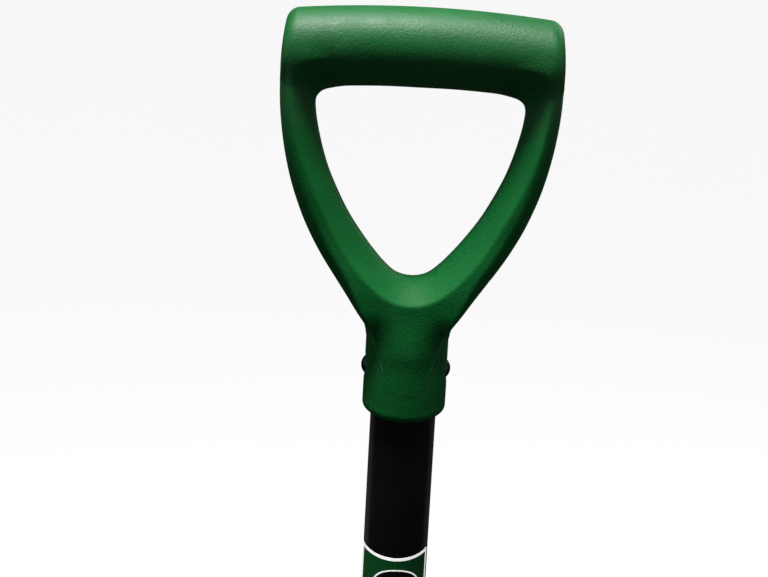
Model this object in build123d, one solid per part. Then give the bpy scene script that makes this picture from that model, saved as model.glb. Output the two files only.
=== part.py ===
from build123d import *
import math
import os
from collections import namedtuple

# Single-shaft post hole digger with a D grip, a fixed digging blade and a second
# digging blade that a hand lever swings shut.
#
# Frame: millimetres, +Z up along the shaft, +X along the D grip's bar and the hinge
# line, the fixed blade on the +Y side, the lever and the moving blade on the -Y side,
# which is the front. The origin is on the shaft's axis at the level of the blade tips.
#
# In names, _R is a radius, _T a thickness and _OD an outer diameter. A "side" is
# -1 or 1, the sign of the X or Y half that a feature lies in.

os.makedirs("parts", exist_ok=True)

SIDES = (-1, 1)
DIAGONAL = math.sqrt(0.5)  # cosine of 45 degrees, for the middle of quarter arcs

# ---------------------------------------------------------------- D grip sizes
# Heights of the grip are above its datum, the nominal mouth of its socket.
TOTAL_HEIGHT = 1220.0
BAR_R = 18.65
BAR_Z = 176.85  # bar axis, at the middle
BAR_ARC_R = 560.0  # the bar is very slightly arched
BAR_HALF = 66.0
BAR_END_FILLET = 7.0
GRIP_BASE = TOTAL_HEIGHT - (BAR_Z + BAR_R)  # height of the grip's datum
PLATE_HALF = 16.6  # half depth of the arms
LAND_HALF = 4.0  # half width of the narrow land round the hand opening
OPENING_OVERRUN = 1.5  # how far the opening's cutter runs past each face
SOCKET_R = 20.3
SOCKET_FILLET = 4.0
SOCKET_LOW = -1.8  # the mouth rim hangs this far below the datum
SOCKET_DEPTH = 50.0
SOCKET_SHOULDER = [(SOCKET_R, 30.0), (19.5, 42.0), (16.2, 53.0), (9.6, 59.0)]  # (radius, z)
SOCKET_PEAK_Z = 60.5
GRIP_RIVET_Z = 21.8
GRIP_RIVET_R = 2.5
GRIP_RIVET_HEAD_R = 4.8
GRIP_RIVET_RISE = 2.4
GRIP_RIVET_SEAT_X = SOCKET_R - 0.9  # flat seat cut into the socket

# ---------------------------------------------------------------- shaft and label sizes
SHAFT_OD = 32.0
SHAFT_R = SHAFT_OD / 2
SHAFT_WALL = 1.6
SHAFT_SEAT_Z = 319.0
SHAFT_BOLT_Z = (363.0, 389.0)

LABEL_TOP = GRIP_BASE - 69.0
LABEL_HEIGHT = 150.0
LABEL_HALF_ANGLE = 82.0
LABEL_TURN = -10.0  # degrees about the shaft, from square to the grip
LABEL_DIP = 3.0  # how far the label's top edge dips at the front
LABEL_DIP_R = 44.0
LABEL_T = 0.15

# ---------------------------------------------------------------- blade sizes
BLADE_R = 80.0  # outer radius of the digging blades
BLADE_T = 2.0
BLADE_INNER_R = BLADE_R - BLADE_T
BLADE_TOP = 262.0
BLADE_OUTLINE = [  # (half width, z), from the tip to where the sides run straight
    (12.0, 0.0), (20.5, 8.0), (29.0, 20.0), (36.5, 34.0), (42.5, 49.0),
    (51.0, 79.0), (59.5, 119.0), (64.6, 155.0), (66.0, 185.0),
]
BLADE_HALF_WIDTH = BLADE_OUTLINE[-1][0]
BLADE_TIP_RISE = (0.73, 0, 0.68)  # direction of the +X edge as it leaves the tip
BLADE_CORNER = 14.0
SWAGE_R = 7.5  # pressed stiffening rib down the middle of each blade
SWAGE_SINK = 3.4
SWAGE_Z = (95.0, 225.0)

PAD_T = 6.0  # straps of the yokes' legs, flush on the inside of the blades
PAD_Z = (196.0, 258.0)
PAD_INNER_R = BLADE_INNER_R - PAD_T
RIVET_R = 3.0
RIVET_HEAD_R = 5.6
RIVET_HEAD_RISE = 2.9
RIVET_TAIL_R = RIVET_HEAD_R - 0.6
RIVET_TAIL_RISE = 2.2
RIVET_Z = (212.0, 243.0)

# ---------------------------------------------------------------- hinge and fastener sizes
# flats: across flats; head and nut: heights along the bolt
Bolt = namedtuple("Bolt", "shank_r flats head nut washer_r washer_t")
PIVOT_BOLT = Bolt(shank_r=5.0, flats=17.0, head=6.4, nut=9.6, washer_r=10.5, washer_t=1.6)
SHAFT_BOLT = Bolt(shank_r=4.0, flats=13.0, head=5.3, nut=7.6, washer_r=8.4, washer_t=1.5)
LEVER_BOLT = Bolt(shank_r=3.0, flats=10.0, head=4.0, nut=5.8, washer_r=6.2, washer_t=1.2)
HEX_CORNER = 0.577  # a hexagon's corner radius over its size across flats

PIVOT_Z = 325.0
EYE_R = 15.0
EAR_T = 8.0
THRUST_T = 1.0
THRUST_R = 12.5
HINGE_GAP = 0.1
EAR_FIXED = (36.0, 36.0 + EAR_T)  # x span of the fixed yoke's ears
MOVING_EAR_X = EAR_FIXED[1] + THRUST_T + HINGE_GAP
EAR_MOVING = (MOVING_EAR_X, MOVING_EAR_X + EAR_T)  # x span of the moving yoke's ears
HEAD_WASHER_X = EAR_MOVING[1] + HINGE_GAP
NUT_SEAT_X = EAR_FIXED[0] - PIVOT_BOLT.washer_t
PIVOT_BOLT_END_X = EAR_FIXED[0] - 12.5
BUSH_R = PIVOT_BOLT.shank_r + 0.06  # bore, with its running clearance
BUSH_OUTER_R = BUSH_R + 2.0

# ---------------------------------------------------------------- yoke and lever sizes
YOKE_SOCKET_R = 22.5
YOKE_SOCKET_Z = (311.0, 411.0)
YOKE_RIM_R = 24.6
SHAFT_FLAT_X = YOKE_SOCKET_R - 1.2  # flats under the shaft bolts' washers
SHAFT_FLAT_R = 9.2
FIXED_BEAM_T = 19.0
WINDOW_SIZE = (14.4, 40.0, 26.4)  # windows for the hinge nuts

LEVER_OD = 25.0
LEVER_R = LEVER_OD / 2
LEVER_WALL = 1.6
LEVER_Y = -47.0
LEVER_SOCKET_R = 17.0
LEVER_SOCKET_Z = (338.0, 410.0)
LEVER_RIM_R = LEVER_SOCKET_R + 1.8
LEVER_SEAT_Z = 345.0
LEVER_BOLT_Z = 388.0
LEVER_BOLT_PROJECTION = 5.6  # shank beyond the nut's seat
LEVER_FLAT_X = LEVER_SOCKET_R - 1.0
LEVER_FLAT_R = 7.4
MOVING_BEAM_T = 18.0
MOVING_BEAM_HEIGHT = 22.0
MOVING_BEAM_Z = PIVOT_Z + 27.0
LEVER_TOP_Y = -88.0
LEVER_BEND_Z = (470.0, 575.0)
LEVER_BEND_R = 70.0
LEVER_TOP = 752.0
LEVER_GRIP_LEN = 128.0
LEVER_GRIP_R = 16.5
LEVER_GRIP_RINGS = 8
LEVER_GRIP_STEPS = 12  # spans of the body's profile spline


# ---------------------------------------------------------------- basic shapes
ON_BASE = (Align.CENTER, Align.CENTER, Align.MIN)


def rod(start, direction, length, radius):
    """Cylinder from start along direction."""
    return Plane(origin=start, z_dir=direction) * Cylinder(radius, length, align=ON_BASE)


def z_cyl(z_start, length, radius, y=0):
    return rod((0, y, z_start), (0, 0, 1), length, radius)


def x_cyl(x_a, x_b, y, z, radius):
    """Cylinder along X between two places, given in either order."""
    low, high = min(x_a, x_b), max(x_a, x_b)
    return rod((low, y, z), (1, 0, 0), high - low, radius)


def x_ring(x_a, x_b, y, z, outer_r, inner_r):
    low, high = min(x_a, x_b), max(x_a, x_b)
    return x_cyl(low, high, y, z, outer_r) - x_cyl(low - 1, high + 1, y, z, inner_r)


def x_hex(x_a, x_b, y, z, flats):
    low, high = min(x_a, x_b), max(x_a, x_b)
    plane = Plane(origin=(low, y, z), z_dir=(1, 0, 0))
    return extrude(plane * RegularPolygon(flats / 2, 6, major_radius=False), high - low)


def tube(z_start, z_end, radius, wall):
    length = z_end - z_start
    return z_cyl(z_start, length, radius) - z_cyl(z_start - 1, length + 2, radius - wall)


def dome(origin, direction, head_r, rise):
    """Snap head: a spherical cap standing on its flat base."""
    ball_r = (head_r**2 + rise**2) / (2 * rise)
    angle = math.asin(head_r / ball_r) / 2
    middle = (ball_r * math.sin(angle), rise - ball_r + ball_r * math.cos(angle), 0)
    profile = make_face(
        Polyline((0, rise, 0), (0, 0, 0), (head_r, 0, 0)).edges()
        + ThreePointArc((head_r, 0, 0), middle, (0, rise, 0)).edges()
    )
    return Plane(origin=origin, z_dir=direction) * Rot(90, 0, 0) * revolve(profile, Axis.Y)


def save(name, *shapes):
    """Writes all the solids of the shapes as one piece."""
    solids = [solid for shape in shapes for solid in shape.solids()]
    piece = solids[0] if len(solids) == 1 else Compound(children=solids)
    export_step(piece, f"parts/{name}.step")


# ---------------------------------------------------------------- bolts, nuts and washers
def hex_crown(side, x_seat, y, z, flats, height, flare, trim):
    """Cone that turns the corners off a hexagon's outer end."""
    corner = flats * HEX_CORNER
    plane = Plane(origin=(x_seat, y, z), z_dir=(side, 0, 0))
    return plane * Cone(corner + height * flare, corner - trim, height, align=ON_BASE)


def hex_bolt(side, x_seat, y, z, bolt, x_end):
    """Bolt along X: its head is outward of x_seat on the given side, its shank ends at x_end."""
    head = x_hex(x_seat, x_seat + side * bolt.head, y, z, bolt.flats)
    crown = hex_crown(side, x_seat, y, z, bolt.flats, bolt.head, flare=1.45, trim=0.55)
    return (head & crown) + x_cyl(x_seat, x_end, y, z, bolt.shank_r)


def hex_nut(side, x_seat, y, z, bolt):
    """Nylon-insert nut with its flat seat at x_seat and its collar pointing along side."""
    height = bolt.nut
    body = x_hex(x_seat, x_seat + side * height * 0.68, y, z, bolt.flats)
    crown = hex_crown(side, x_seat, y, z, bolt.flats, height, flare=1.2, trim=0.8)
    collar = x_cyl(x_seat, x_seat + side * height, y, z, bolt.flats / 2 - 0.4)
    bore = x_cyl(x_seat - side, x_seat + side * (height + 1), y, z, bolt.shank_r)
    return (body & crown) + collar - bore


def washer(side, x_start, y, z, bolt):
    """Washer on the given side, reaching outward from the distance x_start."""
    x_end = x_start + bolt.washer_t
    return x_ring(side * x_start, side * x_end, y, z, bolt.washer_r, bolt.shank_r)


def cut_bolt_hole(body, y, z, bolt, flat_x, flat_r):
    """Cuts a through hole along X and a flat for the washer at each end."""
    body = body - x_cyl(-60, 60, y, z, bolt.shank_r)
    for side in SIDES:
        body = body - x_cyl(side * flat_x, side * 60, y, z, flat_r)
    return body


# ---------------------------------------------------------------- D grip
# Half outlines (half width, z), each with the (bottom, top) where it crosses the
# middle plane.
OUTER = [  # the arms' outline at mid depth, from the tongue on the socket up into the bar
    (8.75, 12.6), (13.2, 20.3), (15.4, 28.8), (17.3, 36.3), (20.8, 43.2),
    (25.8, 50.0), (31.1, 57.5), (36.4, 65.0), (41.6, 72.5), (46.3, 80.0),
    (50.4, 87.5), (53.95, 95.0), (59.5, 110.0), (63.3, 125.0), (65.7, 140.0),
    (66.7, 152.5), (66.6, 163.0), (65.2, 171.8), (59.2, 176.0), (32.0, 177.6),
]
OUTER_ENDS = (10.1, 177.9)
OPENING = [  # the hand opening at mid depth
    (7.2, 67.9), (13.1, 72.5), (19.9, 80.0), (25.7, 87.5), (30.9, 95.0),
    (35.2, 102.5), (42.3, 117.5), (47.0, 132.5), (49.4, 144.5), (49.5, 150.2),
    (46.6, 154.9), (40.6, 156.6), (21.3, 158.0),
]
OPENING_ENDS = (66.4, 158.2)
RIM = [  # the same opening where its bevel meets the front and back faces
    (7.3, 57.1), (14.1, 60.6), (20.6, 66.0), (27.2, 73.0), (33.5, 81.6),
    (39.9, 92.5), (45.0, 102.5), (51.6, 117.0), (56.6, 132.5), (59.4, 147.3),
    (59.8, 157.9), (57.2, 165.3), (50.2, 169.2), (25.6, 170.7),
]
RIM_ENDS = (56.0, 170.9)
OVERRUN_ENDS = (54.9, 171.2)  # the opening's cutter beyond the faces
OUTER_LEVELS = [0.0, 5.0, 9.5, 13.0, 15.4, PLATE_HALF]  # depths of the arms' sections


def closed_spline(y, half, ends):
    """Symmetric closed curve at depth y, through the mirrored half outline and its ends."""
    bottom, top = ends
    right = [(x, y, z) for x, z in half]
    left = [(-x, y, z) for x, z in reversed(half)]
    return Wire([Spline((0, y, bottom), *right, (0, y, top), *left, periodic=True)])


def rounding(y, z):
    """How far the outline draws in at depth y: a quarter ellipse, deeper on the arms."""
    share = min(1.0, max(0.0, (z - 36.0) / 36.0))  # 0 on the tongue, 1 on the arms
    share = share * share * (3 - 2 * share)
    depth = 3.4 + 4.6 * share
    if z > 160:  # shallower again where the arms run into the bar
        depth = max(2.0, depth - (z - 160) * 0.3)
    return depth * (1 - math.sqrt(max(0.0, 1 - (y / (PLATE_HALF + 0.15)) ** 2)))


def rounded_outline(y):
    """OUTER at depth y, each point moved inwards square to the outline."""
    first, last = OUTER[0], OUTER[-1]
    chain = [(-first[0], first[1])] + OUTER + [(-last[0], last[1])]
    moved = []
    for before, (x, z), after in zip(chain, chain[1:], chain[2:]):
        step_x, step_z = after[0] - before[0], after[1] - before[1]
        length = math.hypot(step_x, step_z)
        amount = rounding(y, z)
        moved.append((x - amount * step_z / length, z + amount * step_x / length))
    return moved


def grip_plate():
    """The two arms and the web below them, before the opening is cut."""
    bottom, top = OUTER_ENDS
    levels = [-y for y in reversed(OUTER_LEVELS[1:])] + OUTER_LEVELS
    return Solid.make_loft(
        [closed_spline(y, rounded_outline(y), (bottom + rounding(y, 10), top)) for y in levels]
    )


def grip_opening():
    """Cutter for the bevelled hand opening, run past both faces."""
    overrun = [(x * 1.016, z + (-1.1 if z < 128 else 0.4)) for x, z in RIM]
    far_y = PLATE_HALF + OPENING_OVERRUN
    sections = [
        (-far_y, overrun, OVERRUN_ENDS),
        (-PLATE_HALF, RIM, RIM_ENDS),
        (-LAND_HALF, OPENING, OPENING_ENDS),
        (LAND_HALF, OPENING, OPENING_ENDS),
        (PLATE_HALF, RIM, RIM_ENDS),
        (far_y, overrun, OVERRUN_ENDS),
    ]
    return Solid.make_loft([closed_spline(*section) for section in sections], ruled=True)


def grip_bar():
    half_angle = math.degrees(math.asin(BAR_HALF / BAR_ARC_R))
    path = Plane.XZ * CenterArc(
        (0, BAR_Z - BAR_ARC_R), BAR_ARC_R, 90 - half_angle, 2 * half_angle
    )
    bar = sweep(Plane(origin=path @ 0, z_dir=path % 0) * Circle(BAR_R), path=path)
    return fillet(bar.edges().filter_by(GeomType.CIRCLE), BAR_END_FILLET)


def grip_socket():
    """Solid of revolution round the shaft, with a rounded mouth and a domed shoulder."""
    low, corner = SOCKET_LOW, SOCKET_FILLET
    inset = corner * (1 - DIAGONAL)
    mouth = (SOCKET_R - corner, 0, low)
    wall = (SOCKET_R, 0, low + corner)
    shoulder = [(radius, 0, z) for radius, z in SOCKET_SHOULDER]
    profile = (
        Polyline((0, 0, low), mouth).edges()
        + ThreePointArc(mouth, (SOCKET_R - inset, 0, low + inset), wall).edges()
        + Polyline(wall, shoulder[0]).edges()
        + Spline(*shoulder, tangents=[(0, 0, 1), (-1, 0, 0.3)]).edges()
        + Polyline(shoulder[-1], (0, 0, SOCKET_PEAK_Z), (0, 0, low)).edges()
    )
    return revolve(make_face(profile), Axis.Z)


def d_grip():
    opening = grip_opening()
    body = (grip_plate() - opening) + grip_bar() + (grip_socket() - opening)
    body = body - z_cyl(SOCKET_LOW - 1, SOCKET_DEPTH + 1 - SOCKET_LOW, SHAFT_R)
    body = body - x_cyl(-40, 40, 0, GRIP_RIVET_Z, GRIP_RIVET_R)
    for side in SIDES:  # flat seats for the rivet heads
        body = body - x_cyl(
            side * GRIP_RIVET_SEAT_X, side * (SOCKET_R + 4), 0, GRIP_RIVET_Z,
            GRIP_RIVET_HEAD_R + 0.5,
        )
    return Pos(0, 0, GRIP_BASE) * body


def grip_rivet():
    z = GRIP_BASE + GRIP_RIVET_Z
    seat = GRIP_RIVET_SEAT_X
    rivet = x_cyl(-seat, seat, 0, z, GRIP_RIVET_R)
    for side in SIDES:
        head = dome((side * seat, 0, z), (side, 0, 0), GRIP_RIVET_HEAD_R, GRIP_RIVET_RISE)
        rivet = rivet + head
    return rivet


# ---------------------------------------------------------------- shaft
def shaft_tube():
    shaft = tube(SHAFT_SEAT_Z, GRIP_BASE + SOCKET_DEPTH, SHAFT_R, SHAFT_WALL)
    shaft = shaft - x_cyl(-20, 20, 0, GRIP_BASE + GRIP_RIVET_Z, GRIP_RIVET_R)
    for z in SHAFT_BOLT_Z:
        shaft = shaft - x_cyl(-20, 20, 0, z, SHAFT_BOLT.shank_r)
    return shaft


def shaft_label():
    """Printed film wrapped round the front of the shaft, its top edge cut to a shallow arc."""
    bottom = LABEL_TOP - LABEL_HEIGHT
    ring = tube(bottom, LABEL_TOP, SHAFT_R + LABEL_T, LABEL_T)
    reach = 60  # of the wedge that keeps the label's share of the ring
    wedge_points = [(0, 0)]
    for share in (-1, -0.5, 0, 0.5, 1):
        angle = math.radians(share * LABEL_HALF_ANGLE + LABEL_TURN)
        wedge_points.append((reach * math.sin(angle), -reach * math.cos(angle)))
    wedge_face = make_face(Polyline(*wedge_points, close=True))
    wedge = extrude(Plane.XY.offset(bottom - 1) * wedge_face, LABEL_HEIGHT + 2)
    dip_z = LABEL_TOP - LABEL_DIP + LABEL_DIP_R
    return (ring & wedge) - rod((0, -30, dip_z), (0, 1, 0), 60, LABEL_DIP_R)


# ---------------------------------------------------------------- blades
def blade_outline(side):
    """Front view of a blade, drawn on the middle plane and pushed out past the bowed sheet."""
    half_width, top, corner = BLADE_HALF_WIDTH, BLADE_TOP, BLADE_CORNER
    inset = corner * (1 - DIAGONAL)
    right = [(x, 0, z) for x, z in BLADE_OUTLINE]
    left = [(-x, 0, z) for x, z in reversed(BLADE_OUTLINE)]
    tip_x, _, tip_z = BLADE_TIP_RISE

    def corner_points(hand):
        """The start, middle and end of a top corner, from the side edge to the top edge."""
        return [
            (hand * half_width, 0, top - corner),
            (hand * (half_width - inset), 0, top - inset),
            (hand * (half_width - corner), 0, top),
        ]

    right_corner = corner_points(1)
    left_corner = corner_points(-1)[::-1]
    edges = (
        Polyline(left[-1], right[0]).edges()
        + Spline(*right, tangents=[BLADE_TIP_RISE, (0, 0, 1)]).edges()
        + Polyline(right[-1], right_corner[0]).edges()
        + ThreePointArc(*right_corner).edges()
        + Polyline(right_corner[-1], left_corner[0]).edges()
        + ThreePointArc(*left_corner).edges()
        + Polyline(left_corner[-1], left[0]).edges()
        + Spline(*left, tangents=[(0, 0, -1), (tip_x, 0, -tip_z)]).edges()
    )
    return Solid.extrude(make_face(edges).faces()[0], Vector(0, side * (BLADE_R + 10), 0))


def swage_capsule(side, radius):
    """Round-ended rod that shapes a blade's pressed rib."""
    bottom, top = SWAGE_Z
    length = top - bottom
    mid = radius * DIAGONAL
    profile = (
        Polyline((0, 0, -radius), (0, 0, length + radius)).edges()
        + ThreePointArc(
            (0, 0, length + radius), (mid, 0, length + mid), (radius, 0, length)
        ).edges()
        + Polyline((radius, 0, length), (radius, 0, 0)).edges()
        + ThreePointArc((radius, 0, 0), (mid, 0, -mid), (0, 0, -radius)).edges()
    )
    y = side * (BLADE_R - SWAGE_SINK)
    return Pos(0, y, bottom) * revolve(make_face(profile), Axis.Z)


def blade_sheet(side):
    """Sheet bowed about the shaft's axis, cut to a rounded point, with a pressed rib."""
    sheet = tube(0, BLADE_TOP, BLADE_R, BLADE_T) & blade_outline(side)
    rib = swage_capsule(side, SWAGE_R) - z_cyl(0, BLADE_TOP + 5, BLADE_R - 1.0)
    return sheet + rib - swage_capsule(side, SWAGE_R - BLADE_T)


def ear_span(side):
    """X span of the ears and legs of the fixed (1) or moving (-1) yoke."""
    return EAR_FIXED if side > 0 else EAR_MOVING


def rivet_places(side):
    """(angle from the +X axis in degrees, z) of each rivet on a blade."""
    offset = math.degrees(math.asin(sum(ear_span(side)) / 2 / BLADE_INNER_R))
    return [(side * angle, z) for angle in (90 - offset, 90 + offset) for z in RIVET_Z]


def radial(angle, distance=1):
    """Point in the XY plane at an angle in degrees, or the unit direction towards it."""
    turn = math.radians(angle)
    return (distance * math.cos(turn), distance * math.sin(turn), 0)


def radial_cyl(angle, z, inner, outer, radius):
    """Cylinder pointing away from the shaft's axis, between two distances from it."""
    x, y, _ = radial(angle, inner)
    return rod((x, y, z), radial(angle), outer - inner, radius)


def blade(side):
    sheet = blade_sheet(side)
    for angle, z in rivet_places(side):
        sheet = sheet - radial_cyl(angle, z, BLADE_R - 12, BLADE_R + 6, RIVET_R)
    return sheet


def blade_rivets(side):
    """Rivets headed on the outside of the blade and closed on the inside of the strap."""
    rivets = []
    for angle, z in rivet_places(side):
        out_x, out_y, _ = radial(angle)
        x, y, _ = radial(angle, BLADE_R - 0.25)
        head = dome((x, y, z), (out_x, out_y, 0), RIVET_HEAD_R, RIVET_HEAD_RISE)
        # the outer head beds down on the bowed sheet
        head = head - z_cyl(0, BLADE_TOP, BLADE_R)
        x, y, _ = radial(angle, PAD_INNER_R)
        tail = dome((x, y, z), (-out_x, -out_y, 0), RIVET_TAIL_R, RIVET_TAIL_RISE)
        rivets.append(radial_cyl(angle, z, PAD_INNER_R, BLADE_R + 0.4, RIVET_R) + head + tail)
    return rivets


# ---------------------------------------------------------------- yokes
SIDE_VIEW = Plane(origin=(0, 0, 0), x_dir=(0, 1, 0), z_dir=(1, 0, 0))  # drawn as (y, z)


def front_view(y):
    """Plane drawn on as (x, z), facing -Y."""
    return Plane(origin=(0, y, 0), x_dir=(1, 0, 0), z_dir=(0, -1, 0))


def all_edges(shape):
    return shape.edges()


def round_edges(shape):
    return shape.edges().filter_by(GeomType.CIRCLE)


def bottom_edges(shape):
    return shape.faces().sort_by(Axis.Z)[0].edges()


def x_face_edges(shape):
    return shape.faces().filter_by(Axis.X).edges()


def y_face_edges(shape):
    return shape.faces().filter_by(Axis.Y).edges()


def soften(shape, radius, pick):
    """Rounds the picked edges together, with a smaller radius if the full one does not fit."""
    for trial in (radius, radius * 0.6, radius * 0.35):
        # guards against a fillet that does not fit; if none does, the edges stay sharp
        try:
            out = fillet(pick(shape), trial)
            one_valid = len(out.solids()) == 1 and out.solids()[0].is_valid
            if one_valid and out.volume > 0.5 * shape.volume:
                return out
        except Exception:
            continue
    return shape


def side_plate(points, x_a, x_b, corner, edge, eye=False):
    """Plate through (y, z) points between two x places, with rounded corners and edges."""
    low, high = min(x_a, x_b), max(x_a, x_b)
    sketch = make_face(Polyline(*points, close=True))
    sketch = fillet(sketch.vertices(), corner)
    if eye:
        sketch = sketch + Pos(0, PIVOT_Z) * Circle(EYE_R)
    plate = extrude(SIDE_VIEW.offset(low) * sketch, high - low)
    return soften(plate, edge, x_face_edges)


def leg(side, hand):
    """Hinge eye, cranked limb and blade strap of the yoke on one Y side, at one X hand."""
    inner_x, outer_x = ear_span(side)
    # the strap's inner face, from the blade's inner face at the strap's outer edge
    strap_y = math.sqrt(BLADE_INNER_R**2 - outer_x**2) - PAD_T + 0.4
    bottom, top = PAD_Z
    points = [
        (9.0, PIVOT_Z - 11.0),
        (strap_y - 3.5, top + 21.0),
        (strap_y, top + 9.0),
        (strap_y, bottom + 7.0),
        (strap_y + 4.5, bottom),
        (BLADE_R + 1, bottom),
        (BLADE_R + 1, top + 14.0),
        (strap_y + 10.0, top + 32.0),
        (13.0, PIVOT_Z + 8.0),
        (-4.0, PIVOT_Z + 11.0),
        (-9.0, PIVOT_Z),
    ]
    points = [(side * y, z) for y, z in points]
    limb = side_plate(points, hand * inner_x, hand * outer_x, corner=3.0, edge=1.5, eye=True)
    return limb & z_cyl(0, 600, BLADE_INNER_R)


def cut_rivet_seats(body, side):
    """Cuts rivet holes through the straps, spot-faced on the inside for the closed heads."""
    for angle, z in rivet_places(side):
        body = body - radial_cyl(angle, z, 50, BLADE_R, RIVET_R)
        body = body - radial_cyl(angle, z, 40, PAD_INNER_R, RIVET_HEAD_R + 1.2)
    return body


def yoke_socket(y, z_span, radius, rim_r, rim_height, rim_edge):
    """Upright boss with a raised rim round its top."""
    bottom, top = z_span
    socket = soften(z_cyl(bottom, top - bottom, radius, y=y), 3.0, bottom_edges)
    rim = z_cyl(top - rim_height, rim_height, rim_r, y=y)
    return socket + soften(rim, rim_edge, round_edges)


def fixed_beam():
    """Cross beam between the ears, tapering to the socket, with windows for the hinge nuts."""
    ear_inner, ear_outer = EAR_FIXED
    half = [  # (x, z)
        (12.0, YOKE_SOCKET_Z[0] - 3),
        (ear_outer, PIVOT_Z - 23),
        (ear_outer, PIVOT_Z + 23),
        (YOKE_SOCKET_R + 3.0, PIVOT_Z + 27),
        (12.0, PIVOT_Z + 27),
    ]
    sketch = make_face(Polyline(*half, *[(-x, z) for x, z in reversed(half)], close=True))
    sketch = fillet(sketch.vertices(), 3.0)
    beam = extrude(front_view(FIXED_BEAM_T / 2) * sketch, FIXED_BEAM_T)
    beam = soften(beam, 2.0, y_face_edges)
    for hand in SIDES:  # windows open to the front and back
        window = Pos(hand * (ear_inner - WINDOW_SIZE[0] / 2), 0, PIVOT_Z) * Box(*WINDOW_SIZE)
        beam = beam - fillet(window.edges().filter_by(Axis.Y), 2.0)
    return beam


def fixed_yoke():
    """Casting that joins shaft and fixed blade, carries the hinge bolts and stops the lever."""
    ear_outer = EAR_FIXED[1]
    body = yoke_socket(
        0, YOKE_SOCKET_Z, YOKE_SOCKET_R, rim_r=YOKE_RIM_R, rim_height=10, rim_edge=1.6
    )
    body = body + fixed_beam()
    for hand in SIDES:
        body = body + leg(1, hand)
    # web between the legs that sheds soil, just above the blade
    web = [
        (6, PIVOT_Z - 15), (12, PIVOT_Z - 16), (47, 284),
        (45, 276), (38, 277), (6, PIVOT_Z - 22),
    ]
    body = body + side_plate(web, -ear_outer + 1, ear_outer - 1, corner=1.5, edge=0.8)
    # gusset from the socket down to the web
    gusset = [
        (10, PIVOT_Z + 58), (24, PIVOT_Z + 40), (27, PIVOT_Z - 20),
        (20, PIVOT_Z - 24), (8, PIVOT_Z - 14),
    ]
    body = body + side_plate(gusset, -4, 4, corner=3.0, edge=1.2)
    # stop lug that the lever's socket rests on when the blades are fully open
    stop_y = LEVER_Y + LEVER_SOCKET_R + 0.3
    root_y = -16
    lug = Pos(0, (stop_y + root_y) / 2, PIVOT_Z + 47) * Box(13, root_y - stop_y, 14)
    body = body + fillet(lug.edges().filter_by(Axis.Y), 3.0)
    # bore for the shaft, and a drain below its seat
    body = body - z_cyl(SHAFT_SEAT_Z, 200, SHAFT_R)
    body = body - z_cyl(250, 200, 6.0)
    for z in SHAFT_BOLT_Z:
        body = cut_bolt_hole(body, 0, z, SHAFT_BOLT, SHAFT_FLAT_X, SHAFT_FLAT_R)
    for hand in SIDES:
        body = body - x_cyl(hand * 24, hand * (ear_outer + 5), 0, PIVOT_Z, PIVOT_BOLT.shank_r)
    return cut_rivet_seats(body, 1)


def moving_yoke():
    """Casting that joins the lever to the moving blade and swings on the hinge bolts."""
    ear_inner, ear_outer = EAR_MOVING
    body = yoke_socket(
        LEVER_Y, LEVER_SOCKET_Z, LEVER_SOCKET_R, rim_r=LEVER_RIM_R, rim_height=8, rim_edge=1.4
    )
    beam = Pos(0, LEVER_Y, MOVING_BEAM_Z) * Box(
        2 * ear_outer, MOVING_BEAM_T, MOVING_BEAM_HEIGHT
    )
    body = body + soften(beam, 3.0, all_edges)
    # ribs that spread the socket's load along the beam
    rib_t = 7
    rib_half = [
        (10, PIVOT_Z + 66), (19, PIVOT_Z + 62), (38, PIVOT_Z + 36), (10, PIVOT_Z + 30),
    ]
    for hand in SIDES:
        face = make_face(Polyline(*[(hand * x, z) for x, z in rib_half], close=True))
        rib = extrude(front_view(LEVER_Y + rib_t / 2) * face, rib_t)
        body = body + soften(rib, 1.2, y_face_edges)
    # cheeks from the hinge eyes forward to the beam
    beam_front = LEVER_Y - MOVING_BEAM_T / 2
    beam_back = LEVER_Y + MOVING_BEAM_T / 2
    beam_bottom = MOVING_BEAM_Z - MOVING_BEAM_HEIGHT / 2
    beam_top = MOVING_BEAM_Z + MOVING_BEAM_HEIGHT / 2
    cheek = [
        (9, PIVOT_Z + 10),
        (4, PIVOT_Z + 18),
        (beam_back + 3, beam_top),
        (beam_front + 1, beam_top),
        (beam_front + 1, beam_bottom),
        (beam_front + 9, PIVOT_Z + 2),
        (-9, PIVOT_Z - 10),
        (3, PIVOT_Z - 10),
    ]
    for hand in SIDES:
        plate = side_plate(
            cheek, hand * ear_inner, hand * ear_outer, corner=3.0, edge=1.5, eye=True
        )
        body = body + plate + leg(-1, hand)
    # bore for the lever, and a smaller hole through the socket's floor
    body = body - z_cyl(LEVER_SEAT_Z, 200, LEVER_R, y=LEVER_Y)
    body = body - z_cyl(LEVER_SOCKET_Z[0] - 10, 60, 5.0, y=LEVER_Y)
    body = cut_bolt_hole(body, LEVER_Y, LEVER_BOLT_Z, LEVER_BOLT, LEVER_FLAT_X, LEVER_FLAT_R)
    for hand in SIDES:
        body = body - x_cyl(
            hand * (ear_inner - 5), hand * (ear_outer + 5), 0, PIVOT_Z, BUSH_OUTER_R
        )
    return cut_rivet_seats(body, -1)


# ---------------------------------------------------------------- hinge hardware
def hinge_bolts():
    seat = HEAD_WASHER_X + PIVOT_BOLT.washer_t
    return [
        hex_bolt(side, side * seat, 0, PIVOT_Z, PIVOT_BOLT, side * PIVOT_BOLT_END_X)
        for side in SIDES
    ]


def hinge_nuts():
    return [hex_nut(-side, side * NUT_SEAT_X, 0, PIVOT_Z, PIVOT_BOLT) for side in SIDES]


def hinge_washers(x_start):
    return [washer(side, x_start, 0, PIVOT_Z, PIVOT_BOLT) for side in SIDES]


def hinge_rings(x_start, x_end, outer_r, inner_r):
    return [
        x_ring(side * x_start, side * x_end, 0, PIVOT_Z, outer_r, inner_r) for side in SIDES
    ]


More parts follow.
